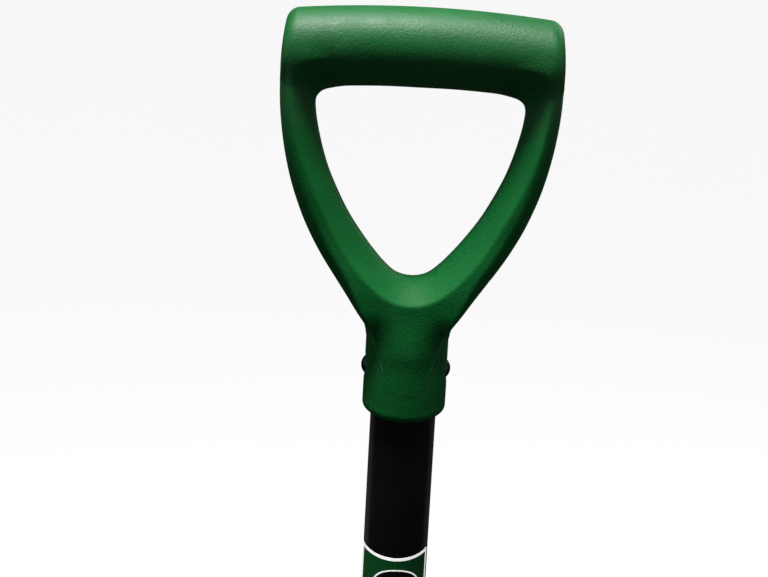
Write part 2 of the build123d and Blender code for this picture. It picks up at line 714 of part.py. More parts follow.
# ---------------------------------------------------------------- shaft and lever fasteners
SHAFT_BOLT_SEAT_X = SHAFT_FLAT_X + SHAFT_BOLT.washer_t
LEVER_BOLT_SEAT_X = LEVER_FLAT_X + LEVER_BOLT.washer_t


def shaft_bolts():
    """Bolts whose shanks end flush with their nuts."""
    seat = SHAFT_BOLT_SEAT_X
    return [
        hex_bolt(1, seat, 0, z, SHAFT_BOLT, -(seat + SHAFT_BOLT.nut)) for z in SHAFT_BOLT_Z
    ]


def shaft_washers():
    return [
        washer(side, SHAFT_FLAT_X, 0, z, SHAFT_BOLT) for side in SIDES for z in SHAFT_BOLT_Z
    ]


def shaft_nuts():
    return [hex_nut(-1, -SHAFT_BOLT_SEAT_X, 0, z, SHAFT_BOLT) for z in SHAFT_BOLT_Z]


def lever_bolt():
    seat = LEVER_BOLT_SEAT_X
    return hex_bolt(
        1, seat, LEVER_Y, LEVER_BOLT_Z, LEVER_BOLT, -(seat + LEVER_BOLT_PROJECTION)
    )


def lever_washers():
    return [washer(side, LEVER_FLAT_X, LEVER_Y, LEVER_BOLT_Z, LEVER_BOLT) for side in SIDES]


def lever_nut():
    return hex_nut(-1, -LEVER_BOLT_SEAT_X, LEVER_Y, LEVER_BOLT_Z, LEVER_BOLT)


# ---------------------------------------------------------------- lever
def lever_tube():
    """Tube that rises from its socket, cranks forward and rises again."""
    bend_bottom, bend_top = LEVER_BEND_Z
    path = FilletPolyline(
        (0, LEVER_Y, LEVER_SEAT_Z),
        (0, LEVER_Y, bend_bottom),
        (0, LEVER_TOP_Y, bend_top),
        (0, LEVER_TOP_Y, LEVER_TOP),
        radius=LEVER_BEND_R,
    )
    start = Plane(origin=path @ 0, z_dir=path % 0)
    outer = sweep(start * Circle(LEVER_R), path=path)
    inner = sweep(start * Circle(LEVER_R - LEVER_WALL), path=path)
    return outer - inner - x_cyl(-30, 30, LEVER_Y, LEVER_BOLT_Z, LEVER_BOLT.shank_r)


def grip_radius(share):
    """Radius of the grip's body at a share of its length: waisted near the foot and the end."""
    return LEVER_GRIP_R + 0.9 * math.cos(2 * math.pi * (share - 0.5)) + 1.2 * share**6


def lever_grip():
    """Slip-on moulded grip with a flanged foot, a swelling ribbed body and a closed end."""
    top = LEVER_TOP + 4.0
    base = LEVER_TOP - LEVER_GRIP_LEN
    body_bottom, body_top = base + 7.0, top - 9.0
    body_length = body_top - body_bottom
    foot_r = LEVER_GRIP_R + 4.0
    shares = [i / LEVER_GRIP_STEPS for i in range(LEVER_GRIP_STEPS + 1)]
    body_side = [(grip_radius(share), 0, body_bottom + body_length * share) for share in shares]
    end_r = body_side[-1][0]
    foot_top = (foot_r, 0, base + 4.6)
    end_face = (end_r - 9.5, 0, top)
    profile = (
        Polyline(
            (0, 0, base), (foot_r - 1.2, 0, base), (foot_r, 0, base + 1.2), foot_top
        ).edges()
        + ThreePointArc(foot_top, (foot_r - 1.0, 0, base + 6.4), body_side[0]).edges()
        + Spline(*body_side).edges()
        + ThreePointArc(body_side[-1], (end_r - 2.9, 0, body_top + 6.4), end_face).edges()
        + Polyline(end_face, (0, 0, top), (0, 0, base)).edges()
    )
    grip = revolve(make_face(profile), Axis.Z)
    for i in range(1, LEVER_GRIP_RINGS + 1):
        share = i / (LEVER_GRIP_RINGS + 1)
        z = body_bottom + body_length * share
        grip = grip + Pos(0, 0, z) * Torus(grip_radius(share) - 0.9, 1.7)
    grip = grip - z_cyl(base - 1, LEVER_GRIP_LEN + 1, LEVER_R)
    return Pos(0, LEVER_TOP_Y, 0) * grip


# ---------------------------------------------------------------- write the parts
save("d_grip", d_grip())
save("grip_rivet", grip_rivet())
save("shaft_tube", shaft_tube())
save("shaft_label", shaft_label())
save("fixed_yoke", fixed_yoke())
save("shaft_bolts", *shaft_bolts())
save("shaft_washers", *shaft_washers())
save("shaft_nuts", *shaft_nuts())
save("fixed_blade", blade(1))
save("fixed_blade_rivets", *blade_rivets(1))
save("hinge_bolts", *hinge_bolts())
save("hinge_head_washers", *hinge_washers(HEAD_WASHER_X))
save(
    "hinge_thrust_washers",
    *hinge_rings(EAR_FIXED[1], EAR_FIXED[1] + THRUST_T, THRUST_R, PIVOT_BOLT.shank_r),
)
save("hinge_nut_washers", *hinge_washers(NUT_SEAT_X))
save("hinge_nuts", *hinge_nuts())
save("hinge_bushes", *hinge_rings(*EAR_MOVING, BUSH_OUTER_R, BUSH_R))
save("moving_yoke", moving_yoke())
save("moving_blade", blade(-1))
save("moving_blade_rivets", *blade_rivets(-1))
save("lever_tube", lever_tube())
save("lever_bolt", lever_bolt())
save("lever_washers", *lever_washers())
save("lever_nut", lever_nut())
save("lever_grip", lever_grip())
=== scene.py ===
"""A two-bladed hand digger, standing upright with its blade tips at z = 0.

The shaft runs up +Z and carries the fixed blade (+Y side) and the D grip on top; the moving
blade is on the -Y side, which faces the camera. The grip and both blades get new meshes here,
the castings are rounded, and everything gets a material. Working lengths are in mm; meshes,
lights and the camera are in metres.
"""
import math

import bpy
import numpy as np
from mathutils import Matrix, Vector


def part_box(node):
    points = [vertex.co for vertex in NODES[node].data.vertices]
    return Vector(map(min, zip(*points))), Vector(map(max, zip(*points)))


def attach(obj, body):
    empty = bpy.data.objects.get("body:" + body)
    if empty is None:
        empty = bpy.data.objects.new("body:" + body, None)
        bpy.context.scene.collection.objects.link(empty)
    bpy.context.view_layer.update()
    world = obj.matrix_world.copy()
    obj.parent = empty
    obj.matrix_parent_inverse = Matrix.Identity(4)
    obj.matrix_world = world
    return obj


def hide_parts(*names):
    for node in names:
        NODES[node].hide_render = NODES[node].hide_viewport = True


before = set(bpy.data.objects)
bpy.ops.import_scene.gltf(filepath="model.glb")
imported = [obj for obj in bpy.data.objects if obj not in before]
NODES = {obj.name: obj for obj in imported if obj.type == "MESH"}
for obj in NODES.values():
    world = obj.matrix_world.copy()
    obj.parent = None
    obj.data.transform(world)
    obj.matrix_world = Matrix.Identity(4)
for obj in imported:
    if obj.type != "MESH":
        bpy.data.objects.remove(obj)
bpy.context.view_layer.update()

MM = 0.001
PER_METRE = 1000.0  # mm in a metre, for shader coordinates

# ------------------------------------------------------------------ sizes read from the frame
SOCKET_LOW = -1.8  # lowest point of the grip's socket, from the grip's datum
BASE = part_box("d_grip")[0][2] / MM - SOCKET_LOW  # height of the grip's datum
tube_low, tube_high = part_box("shaft_tube")
TUBE_R = float((tube_high[0] - tube_low[0]) / 2 / MM)
label_low, label_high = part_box("shaft_label")
LABEL_BOTTOM, LABEL_TOP = float(label_low[2]), float(label_high[2])  # metres


# ------------------------------------------------------------------ shader helpers
def operator(operation, swap=False):
    """Method that adds a math node; swap puts the other value first."""

    def apply(self, other):
        pair = (other, self) if swap else (self, other)
        return self.shader.math(operation, *pair)

    return apply


class Value:
    """A node's output. Arithmetic on it adds math nodes."""

    def __init__(self, shader, socket):
        self.shader = shader
        self.socket = socket

    __add__, __radd__ = operator("ADD"), operator("ADD", swap=True)
    __sub__, __rsub__ = operator("SUBTRACT"), operator("SUBTRACT", swap=True)
    __mul__ = operator("MULTIPLY")
    __truediv__ = operator("DIVIDE")
    __pow__ = operator("POWER")

    def __abs__(self):
        return self.shader.math("ABSOLUTE", self)

    def step(self, span, to=(0.0, 1.0)):
        """Smooth change from to[0] to to[1] as the value crosses span."""
        inputs = {"Value": self, "From Min": span[0], "From Max": span[1]}
        inputs.update({"To Min": to[0], "To Max": to[1]})
        return self.shader.add("MapRange", inputs, interpolation_type="SMOOTHSTEP")


FALL = (1.0, 0.0)  # a step that goes down


class Shader:
    """A material with one Principled surface, and short ways to add nodes to it."""

    def __init__(self, name):
        self.material = bpy.data.materials.new(name)
        self.material.use_nodes = True
        self.tree = self.material.node_tree
        self.tree.nodes.clear()
        output = self.tree.nodes.new("ShaderNodeOutputMaterial")
        self.surface = self.tree.nodes.new("ShaderNodeBsdfPrincipled")
        self.tree.links.new(self.surface.outputs[0], output.inputs[0])
        self.position = self.add("TexCoord", {}, "Object")

    def put(self, socket, value):
        if isinstance(value, Value):
            self.tree.links.new(value.socket, socket)
        elif socket.type == "RGBA":
            socket.default_value = (*value, 1.0)
        else:
            socket.default_value = value

    def add(self, kind, inputs, output=0, **settings):
        node = self.tree.nodes.new("ShaderNode" + kind)
        for name, setting in settings.items():
            setattr(node, name, setting)
        for key, value in inputs.items():
            self.put(node.inputs[key], value)
        return Value(self, node.outputs[output])

    def math(self, operation, *values):
        return self.add("Math", dict(enumerate(values)), operation=operation)

    def noise(self, scale, detail=2.0, roughness=0.5, stretch=None):
        vector = self.position
        if stretch:
            vector = self.add("Mapping", {"Scale": stretch, "Vector": vector})
        inputs = {"Scale": scale, "Detail": detail, "Roughness": roughness, "Vector": vector}
        return self.add("TexNoise", inputs, "Fac")

    def mix(self, factor, under, over):
        return self.add("Mix", {0: factor, 6: under, 7: over}, 2, data_type="RGBA")

    def xyz(self):
        separate = self.add("SeparateXYZ", {0: self.position}).socket.node
        return [Value(self, socket) for socket in separate.outputs]

    def edges(self):
        """Above 0.5 on ridges, below it in hollows."""
        return self.add("NewGeometry", {}, "Pointiness")

    def bump(self, height, strength, distance):
        return self.add("Bump", {"Strength": strength, "Distance": distance, "Height": height})

    def finish(self, inputs):
        """Fills the surface's inputs and returns the material."""
        for name, value in inputs.items():
            self.put(self.surface.inputs[name], value)
        return self.material


# ------------------------------------------------------------------ materials
HIGHLIGHT_LINE_X, HIGHLIGHT_LINE_Z, HIGHLIGHT_LINE_LEAN = 11.0, 22.6, 0.37  # a point on the crease that the painted highlight line follows, and its run out per mm up
POLISH_SPAN = (125.0, 158.0)  # heights over which the arms give way to the polished bar


def green_plastic(name, grain_scale, grain_strength, is_grip=False):
    """Moulded plastic whose fine grain breaks the highlight into specks."""
    mat = Shader(name)
    broad = mat.noise(scale=11.0, detail=3.0)
    mid = mat.noise(scale=90.0)
    fine = mat.noise(scale=grain_scale, roughness=0.65)
    coarse = mat.noise(scale=grain_scale * 0.45, detail=1.0)
    color = mat.mix(
        broad.step(span=(0.35, 0.65)), under=(0.0036, 0.128, 0.024), over=(0.0052, 0.150, 0.030)
    )
    color = mat.mix(mid.step(span=(0.42, 0.70), to=(0.0, 0.30)), color, over=(0.007, 0.170, 0.036))
    color = mat.mix(fine.step(span=(0.35, 0.75), to=(0.0, 0.22)), color, over=(0.010, 0.19, 0.042))
    # painted highlight: ridges are made paler, standing in for the light they catch
    painted_ridge_highlight = mat.edges().step(span=(0.51, 0.58), to=(0.0, 0.40))
    color = mat.mix(painted_ridge_highlight, color, over=(0.02, 0.25, 0.065))
    specular, dull = 0.42, 0.0
    if is_grip:
        # painted highlight: a fine pale line each side, standing in for the light caught by the
        # crease where the arms' flanks run out on the socket
        x, y, z = mat.xyz()
        height = z * PER_METRE - BASE
        highlight_line_x = (height - HIGHLIGHT_LINE_Z) * HIGHLIGHT_LINE_LEAN + HIGHLIGHT_LINE_X
        away = abs(abs(x) * PER_METRE - highlight_line_x)
        painted_crease_highlight = away.step(span=(0.08, 0.42), to=FALL) * (
            height.step(span=(19.5, 26.0)) * height.step(span=(40.0, 43.0), to=FALL)
        )
        color = mat.mix(painted_crease_highlight * 0.85, color, over=(0.05, 0.32, 0.11))
        # hands polish the bar; the web and arms stay matt
        specular = height.step(span=POLISH_SPAN, to=(0.17, 0.54))
        dull = height.step(span=POLISH_SPAN, to=(0.05, 0.0))
    grain = fine * 0.7 + coarse * 0.5
    normal = mat.bump(grain, strength=grain_strength, distance=0.00030)
    return mat.finish({
        "Base Color": color,
        "Roughness": mid.step(span=(0.3, 0.7), to=(0.42, 0.49)) + fine * 0.12 + dull,
        "Normal": normal,
        "IOR": 1.49,
        "Specular IOR Level": specular,
    })


def black_enamel():
    """Semi-gloss baked enamel on drawn tube, with a painted sheen where it is seen edge on."""
    mat = Shader("black_enamel")
    peel = mat.noise(scale=420.0)
    smudge = mat.noise(scale=16.0, detail=4.0, roughness=0.6)
    streak = mat.noise(scale=30.0, detail=3.0, roughness=0.6, stretch=(26.0, 26.0, 0.7))
    speck = mat.noise(scale=2600.0, detail=0.0)
    color = mat.mix(
        smudge.step(span=(0.35, 0.7)), under=(0.0030, 0.0024, 0.0042), over=(0.0060, 0.0050, 0.0075)
    )
    color = mat.mix(speck.step(span=(0.70, 0.80), to=(0.0, 0.25)), color, over=(0.03, 0.03, 0.032))
    # painted sheen: the tube is made lighter where it is seen edge on, standing in for a reflection
    painted_grazing_sheen = mat.add("LayerWeight", {"Blend": 0.5}, "Facing")
    color = mat.mix(painted_grazing_sheen.step(span=(0.42, 0.68)), color, over=(0.055, 0.042, 0.045))
    return mat.finish({
        "Base Color": color,
        "Roughness": smudge.step(span=(0.3, 0.75), to=(0.20, 0.28))
        + streak.step(span=(0.5, 0.8), to=(0.0, 0.06)),
        "Normal": mat.bump(peel, strength=0.10, distance=0.00008),
        "IOR": 1.45,
        "Specular IOR Level": 0.40,
    })


def cast_iron():
    """Sand casting under thin black paint, rubbed through on its high edges."""
    mat = Shader("cast_black")
    sand = mat.noise(scale=750.0, detail=4.0, roughness=0.7)
    lump = mat.noise(scale=95.0, detail=3.0, roughness=0.6)
    pit = mat.add("TexVoronoi", {"Scale": 420.0, "Vector": mat.position}, "Distance")
    tone = mat.noise(scale=24.0, detail=4.0, roughness=0.6)
    color = mat.mix(
        tone.step(span=(0.35, 0.7)), under=(0.011, 0.011, 0.012), over=(0.024, 0.023, 0.023)
    )
    worn = mat.edges().step(span=(0.515, 0.60)) * sand.step(span=(0.35, 0.6), to=(0.3, 1.0))
    color = mat.mix(worn * 0.75, color, over=(0.16, 0.145, 0.135))
    relief = sand * 0.6 + lump * 1.3 + pit.step(span=(0.0, 0.25), to=(0.0, 0.35)) * 1.0
    return mat.finish({
        "Base Color": color,
        "Roughness": tone.step(span=(0.3, 0.7), to=(0.50, 0.66)) - worn * 0.14,
        "Metallic": worn * 0.6,
        "Normal": mat.bump(relief, strength=0.55, distance=0.00045),
    })


def blade_finish():
    """Green coat with a bare ground edge, placed by edge_mm, and scuffs towards the tip."""
    mat = Shader("blade_coat")
    z = mat.xyz()[2]
    edge = mat.add("Attribute", {}, "Fac", attribute_name="edge_mm")
    patch = mat.noise(scale=70.0, detail=4.0, roughness=0.65)
    fine = mat.noise(scale=900.0)
    peel = mat.noise(scale=520.0, detail=1.0)
    scuff = mat.noise(scale=60.0, detail=6.0, roughness=0.7, stretch=(9.0, 9.0, 1.0))
    # ground band, slightly ragged where the coat stops
    ragged = edge + (patch - 0.5) * 1.6
    bare = ragged.step(span=(4.3, 5.0), to=FALL)
    near_tip = z.step(span=(0.02, 0.13), to=FALL)
    rubbed = scuff.step(span=(0.60, 0.72)) * near_tip
    bare = mat.math("MAXIMUM", bare, rubbed * 0.85)
    paint = mat.mix(
        patch.step(span=(0.35, 0.7)), under=(0.0045, 0.070, 0.022), over=(0.0070, 0.092, 0.030)
    )
    paint = mat.mix(fine.step(span=(0.62, 0.72), to=(0.0, 0.3)), paint, over=(0.02, 0.15, 0.06))
    line = mat.noise(scale=900.0, detail=3.0, roughness=0.6, stretch=(0.10, 1.0, 1.0))
    steel = mat.mix(line.step(span=(0.3, 0.7)), under=(0.30, 0.30, 0.31), over=(0.52, 0.52, 0.53))
    color = mat.mix(bare, paint, steel)
    roughness = bare * -0.08 + patch.step(span=(0.3, 0.7), to=(0.38, 0.50))
    relief = peel * 0.5 + (1.0 - bare) * 0.9 + line * bare * 0.35
    return mat.finish({
        "Base Color": color,
        "Roughness": roughness,
        "Metallic": bare * 0.95,
        "Normal": mat.bump(relief, strength=0.4, distance=0.00014),
    })


def bare_metal(name, dark, light, roughness=(0.26, 0.42)):
    """Mottled metal hardware, with painted shade darkening its recesses."""
    mat = Shader(name)
    mottle = mat.noise(scale=160.0, detail=4.0, roughness=0.65)
    fine = mat.noise(scale=1500.0)
    # painted shade: hollows are darkened
    painted_recess_shade = mat.edges().step(span=(0.44, 0.50), to=FALL)
    color = mat.mix(mottle.step(span=(0.35, 0.7)), under=dark, over=light)
    color = mat.mix(painted_recess_shade * 0.7, color, over=tuple(part * 0.25 for part in dark))
    return mat.finish({
        "Base Color": color,
        "Metallic": 1.0,
        "Roughness": mottle.step(span=(0.3, 0.7), to=roughness) + fine * 0.06,
        "Normal": mat.bump(mottle + fine * 0.4, strength=0.12, distance=0.00018),
    })


LABEL_R = TUBE_R + 0.15
LABEL_TURN = math.radians(10.0)  # the film's middle lies this far round from -Y, towards -X
LABEL_HALF = LABEL_R * math.radians(82.0)  # half the film's width round the tube
LABEL_DIP, LABEL_DIP_R = 3.0, 44.0  # depth and radius of the hollow top edge
PRINT_SHIFT = 1.2  # the print's centre lies this far to the +X side of -Y
WIDER_MARGIN = 3.6  # extra pale margin on the -X side
WHITE, BLACK = (0.92, 0.94, 0.91), (0.004, 0.004, 0.005)
# the upper oval: centre below the top; half width, half height and ink of each layer
OVAL_CENTRE = 20.2
OVAL_LAYERS = ((13.4, 11.2, WHITE), (12.65, 10.45, BLACK))
# white bars: centre below the dipped edge, half width, half height; and their edge softness
BARS = ((52.0, 16.5, 1.2), (56.0, 11.0, 0.6))
BAR_SOFT = 0.1


def label_print():
    """Printed film: green field, pale border, an oval, two bars and a ring."""
    mat = Shader("label_print")
    x, y, z = mat.xyz()
    # places on the film in mm: round the tube, below its top and above its bottom
    facing = mat.math("ARCTAN2", x, y * -1.0)
    angle = facing + LABEL_TURN
    across = facing * LABEL_R - PRINT_SHIFT
    arc = angle * LABEL_R
    below_top = (LABEL_TOP - z) * PER_METRE
    x_mm = x * PER_METRE
    dip = mat.math("SQRT", LABEL_DIP_R**2 - x_mm * x_mm)
    below_dip = below_top - (dip - (LABEL_DIP_R - LABEL_DIP))
    above = (z - LABEL_BOTTOM) * PER_METRE
    side = mat.math("MINIMUM", LABEL_HALF - arc, (LABEL_HALF - WIDER_MARGIN) + arc)
    to_edge = mat.math("MINIMUM", mat.math("MINIMUM", below_dip, above), side)
    border = to_edge.step(span=(1.45, 1.60), to=FALL)

    def oval(centre, half_width, half_height):
        """1 on the oval's line and less inside; centre is below the top."""
        wide = abs(across / half_width) ** 2.2
        return wide + abs((below_top - centre) / half_height) ** 2.2

    field = mat.noise(scale=9.0, detail=3.0)
    color = mat.mix(field, under=(0.0036, 0.082, 0.019), over=(0.0054, 0.100, 0.024))
    for half_width, half_height, ink in OVAL_LAYERS:
        layer = oval(OVAL_CENTRE, half_width, half_height)
        color = mat.mix(layer.step(span=(0.97, 1.03), to=FALL), color, ink)
    for centre, half_width, half_height in BARS:
        wide = abs(across).step(span=(half_width - BAR_SOFT, half_width + BAR_SOFT), to=FALL)
        high = abs(below_dip - centre).step(
            span=(half_height - BAR_SOFT, half_height + BAR_SOFT), to=FALL
        )
        color = mat.mix(wide * high, color, WHITE)
    lower = oval(centre=96.0, half_width=12.5, half_height=26.0)
    ring = lower.step(span=(0.80, 0.84)) * lower.step(span=(0.97, 1.01), to=FALL)
    color = mat.mix(ring, color, over=(0.02, 0.20, 0.075))
    color = mat.mix(border, color, WHITE)
    scuff = mat.noise(scale=220.0, detail=5.0, roughness=0.7, stretch=(1.0, 1.0, 0.25))
    color = mat.mix(scuff.step(span=(0.68, 0.82), to=(0.0, 0.22)), color, over=(0.03, 0.06, 0.04))
    return mat.finish({
        "Base Color": color,
        "Roughness": scuff.step(span=(0.3, 0.8), to=(0.22, 0.40)),
        "Normal": mat.bump(mat.noise(scale=500.0), strength=0.06, distance=0.00010),
        "IOR": 1.5,
        "Specular IOR Level": 0.35,
        # the white ink, found by its red part, glows a little to read as a bright film
        "Emission Strength": mat.add("SeparateColor", {0: color}).step(
            span=(0.4, 0.9), to=(0.0, 0.55)
        ),
        "Emission Color": (1.0, 1.0, 1.0),
    })


MATERIALS = {
    "green": green_plastic("grip_green", grain_scale=1350.0, grain_strength=0.75, is_grip=True),
    "lever_green": green_plastic("lever_grip_green", grain_scale=1200.0, grain_strength=0.6),
    "enamel": black_enamel(),
    "cast": cast_iron(),
    "blade": blade_finish(),
    "zinc": bare_metal("zinc_plate", dark=(0.50, 0.50, 0.49), light=(0.66, 0.65, 0.61)),
    "rivet": bare_metal(
        "rivet_steel", dark=(0.26, 0.26, 0.27), light=(0.40, 0.40, 0.41), roughness=(0.34, 0.50)
    ),
    "dark": bare_metal(
        "dark_plate", dark=(0.045, 0.042, 0.045), light=(0.10, 0.095, 0.10), roughness=(0.30, 0.46)
    ),
    "bronze": bare_metal(
        "bush_bronze", dark=(0.42, 0.26, 0.10), light=(0.58, 0.38, 0.17), roughness=(0.34, 0.48)
    ),
    "label": label_print(),
}

FINISH = {
    "grip_rivet": "dark",
    "shaft_tube": "enamel",
    "shaft_label": "label",
    "fixed_yoke": "cast",
    "moving_yoke": "cast",
    "shaft_bolts": "zinc",
    "shaft_washers": "zinc",
    "shaft_nuts": "zinc",
    "fixed_blade_rivets": "rivet",
    "moving_blade_rivets": "rivet",
    "hinge_bolts": "zinc",
    "hinge_head_washers": "zinc",
    "hinge_thrust_washers": "bronze",
    "hinge_nut_washers": "zinc",
    "hinge_nuts": "zinc",
    "hinge_bushes": "bronze",
    "lever_tube": "enamel",
    "lever_bolt": "zinc",
    "lever_washers": "zinc",
    "lever_nut": "zinc",
    "lever_grip": "lever_green",
}
for node_name, finish in FINISH.items():
    slots = NODES[node_name].data.materials
    if len(slots) == 0:
        slots.append(MATERIALS[finish])
    else:
        for slot in range(len(slots)):
            slots[slot] = MATERIALS[finish]


# ------------------------------------------------------------------ mesh and field helpers
def new_mesh(name, vertices, quads, material):
    mesh = bpy.data.meshes.new(name)
    vertices = np.asarray(vertices, dtype=np.float32)
    quads = np.asarray(quads, dtype=np.int32)
    mesh.vertices.add(len(vertices))
    mesh.vertices.foreach_set("co", vertices.ravel())
    mesh.loops.add(quads.size)
    mesh.loops.foreach_set("vertex_index", quads.ravel())
    mesh.polygons.add(len(quads))
    mesh.polygons.foreach_set("loop_start", np.arange(0, quads.size, 4, dtype=np.int32))
    mesh.polygons.foreach_set("loop_total", np.full(len(quads), 4, dtype=np.int32))
    mesh.update(calc_edges=True)
    mesh.validate()
    mesh.polygons.foreach_set("use_smooth", np.full(len(mesh.polygons), True))
    mesh.materials.append(material)
    obj = bpy.data.objects.new(name, mesh)
    bpy.context.scene.collection.objects.link(obj)
    return obj


def smoothstep(start, end, value):
    """0 at start to 1 at end; start may be the larger."""
    part = np.clip((value - start) / (end - start), 0.0, 1.0)
    return part * part * (3 - 2 * part)


def smooth_min(first, second, width):
    """Union of two distance fields, blended over a width."""
    share = np.clip(0.5 + 0.5 * (second - first) / width, 0.0, 1.0)
    return second + (first - second) * share - width * share * (1 - share)


def smooth_max(first, second, width):
    return -smooth_min(-first, -second, width)


def rounded_overlap(first, second, radius):
    """Intersection of two distance fields with its corner rounded."""
    first = first + radius
    second = second + radius
    outside = np.hypot(np.maximum(first, 0), np.maximum(second, 0))
    return np.minimum(np.maximum(first, second), 0.0) + outside - radius


# ------------------------------------------------------------------ D grip: dimensions
# Heights are above the grip's datum. Each outline holds (x, z) points of the +X half, going up.
OUTER = [  # silhouette
    (8.75, 12.6), (13.2, 20.3), (15.4, 28.8), (17.3, 36.3), (20.8, 43.2), (25.8, 50.0),
    (31.1, 57.5), (36.4, 65.0), (41.6, 72.5), (46.3, 80.0), (50.4, 87.5), (53.95, 95.0),
    (59.5, 110.0), (63.3, 125.0), (65.7, 140.0), (66.7, 152.5), (66.6, 163.0), (65.2, 171.8),
    (59.2, 176.0), (32.0, 177.6),
]
OPENING = [  # hand opening at mid depth
    (7.2, 67.9), (13.1, 72.5), (19.9, 80.0), (25.7, 87.5), (30.9, 95.0), (35.2, 102.5),
    (42.3, 117.5), (47.0, 132.5), (49.4, 144.5), (49.5, 150.2), (46.6, 154.9), (40.6, 156.6),
    (21.3, 158.0),
]
RIM = [  # wider mouth of the opening, on both faces
    (7.3, 57.1), (14.1, 60.6), (20.6, 66.0), (27.2, 73.0), (33.5, 81.6), (39.9, 92.5),
    (45.0, 102.5), (51.6, 117.0), (56.6, 132.5), (59.4, 147.3), (59.8, 157.9), (57.2, 165.3),
    (50.2, 169.2), (25.6, 170.7),
]
LAND = 4.0  # half depth of the opening's straight wall, before the bevel
BEVEL_POWER, BEVEL_SLOPE = 1.4, 0.86
ARM_DEPTH = 16.5  # half depth of the arms
SOCKET_R, SOCKET_TOP, SOCKET_ROUND = 20.3, 47.0, 3.2
SOCKET_SAG = 2.2  # rise of the socket's lower end at x = SOCKET_R
BAR_R, BAR_Z, BAR_ARC = 18.65, 176.85, 560.0  # section, height at x = 0, radius of the arch
BAR_END, BAR_END_ROUND = 66.75, 4.6
BORE_R, BORE_TOP = TUBE_R + 0.05, 50.0
RIVET_Z, RIVET_HOLE_R = 21.8, 2.55
RIVET_SEAT_R, RIVET_SEAT_X = 5.4, 19.45
GRIP_LOW, GRIP_HIGH = (-70.0, -23.0, -4.0), (70.0, 23.0, 199.0)  # box that is meshed

FIELD_STEP = 0.5
FIELD_X = np.arange(-76.0, 76.01, FIELD_STEP)
FIELD_Z = np.arange(-8.0, 206.01, FIELD_STEP)


# ------------------------------------------------------------------ D grip: outlines as fields
def blend(first, second, start, end, at):
    return (end - at) / (end - start) * first + (at - start) / (end - start) * second


def curve_through(points, pieces=10):
    """Closed centripetal Catmull-Rom curve through points."""
    points = np.asarray(points, dtype=float)
    curve = []
    for i in range(len(points)):
        near = [points[(i + j) % len(points)] for j in (-1, 0, 1, 2)]
        knots = [0.0]
        for j in range(3):
            knots.append(knots[-1] + np.linalg.norm(near[j + 1] - near[j]) ** 0.5)
        for at in np.linspace(knots[1], knots[2], pieces, endpoint=False):
            lines = [blend(near[j], near[j + 1], knots[j], knots[j + 1], at) for j in range(3)]
            bends = [blend(lines[j], lines[j + 1], knots[j], knots[j + 2], at) for j in range(2)]
            curve.append(blend(bends[0], bends[1], knots[1], knots[2], at))
    return np.array(curve)


def outline_field(half, bottom, top):
    """Signed distance to the mirrored outline on the field grid, negative inside, smoothed.

    bottom and top are the outline's heights at x = 0.
    """
    mirrored = [(-x, z) for x, z in reversed(half)]
    outline = curve_through([(0.0, bottom)] + list(half) + [(0.0, top)] + mirrored)
    X, Z = np.meshgrid(FIELD_X, FIELD_Z, indexing="ij")
    nearest = np.full(X.shape, 1e9)
    inside = np.zeros(X.shape, dtype=bool)
    for (ax, az), (bx, bz) in zip(outline, np.roll(outline, -1, axis=0)):
        dx, dz = bx - ax, bz - az
        length_squared = dx * dx + dz * dz
        if length_squared < 1e-12:
            continue
        along = np.clip(((X - ax) * dx + (Z - az) * dz) / length_squared, 0.0, 1.0)
        np.minimum(nearest, (X - ax - along * dx) ** 2 + (Z - az - along * dz) ** 2, out=nearest)
        if abs(dz) > 1e-12:
            inside ^= ((az > Z) != (bz > Z)) & (X < ax + (Z - az) * dx / dz)
    field = np.sqrt(nearest) * np.where(inside, -1.0, 1.0)
    for _ in range(2):
        field[1:-1, :] = (field[:-2, :] + 2 * field[1:-1, :] + field[2:, :]) / 4
        field[:, 1:-1] = (field[:, :-2] + 2 * field[:, 1:-1] + field[:, 2:]) / 4
    return field


def spline_weights(grid, value):
    """Nearest inner grid index, and quadratic B-spline weights of it and its neighbours."""
    place = (value - grid[0]) / FIELD_STEP
    index = np.clip(np.rint(place).astype(np.int32), 1, len(grid) - 2)
    off = place - index
    return index, (0.5 * (0.5 - off) ** 2, 0.75 - off**2, 0.5 * (0.5 + off) ** 2)


def sample(field, x, z):
    column, weights_x = spline_weights(FIELD_X, x)
    row, weights_z = spline_weights(FIELD_Z, z)
    total = 0.0
    for i in range(3):
        for j in range(3):
            total = total + weights_x[i] * weights_z[j] * field[column + i - 1, row + j - 1]
    return total


OUTER_FIELD = outline_field(OUTER, bottom=10.1, top=177.9)
OPENING_FIELD = outline_field(OPENING, bottom=66.4, top=158.2)
RIM_FIELD = outline_field(RIM, bottom=56.0, top=170.9)


# ------------------------------------------------------------------ D grip: solid parts
# Each returns a distance-like field in mm, negative inside.
def grip_half_depth(x, z):
    """Half depth in Y: round like the socket low down, flat on the arms."""
    flat = ARM_DEPTH + 2.9 * smoothstep(92.0, 58.0, z)
    radius = 20.05 + 0.75 * smoothstep(20.0, 33.0, z)
    least = 10.0 + 5.0 * smoothstep(33.0, 46.0, z)
    bulge = np.sqrt(np.maximum(radius**2 - x**2, least**2))
    low = smoothstep(53.0, 29.0, z)
    return flat * (1 - low) + np.minimum(bulge, flat + 1.6) * low


def arms_field(x, y, z, depth):
    """Plate whose outer flank is a quarter ellipse from mid depth to each face."""
    flank = 2.2 + 5.8 * smoothstep(40.0, 74.0, z)  # the ellipse's width
    stretch = depth / flank
    inset = np.maximum(sample(OUTER_FIELD, x, z) + flank, 0.0) * stretch
    reach = np.sqrt(inset * inset + y * y) + 1e-6
    gradient = np.sqrt((inset * stretch) ** 2 + y * y) / reach
    return (reach - depth) / np.maximum(gradient, 1.0)


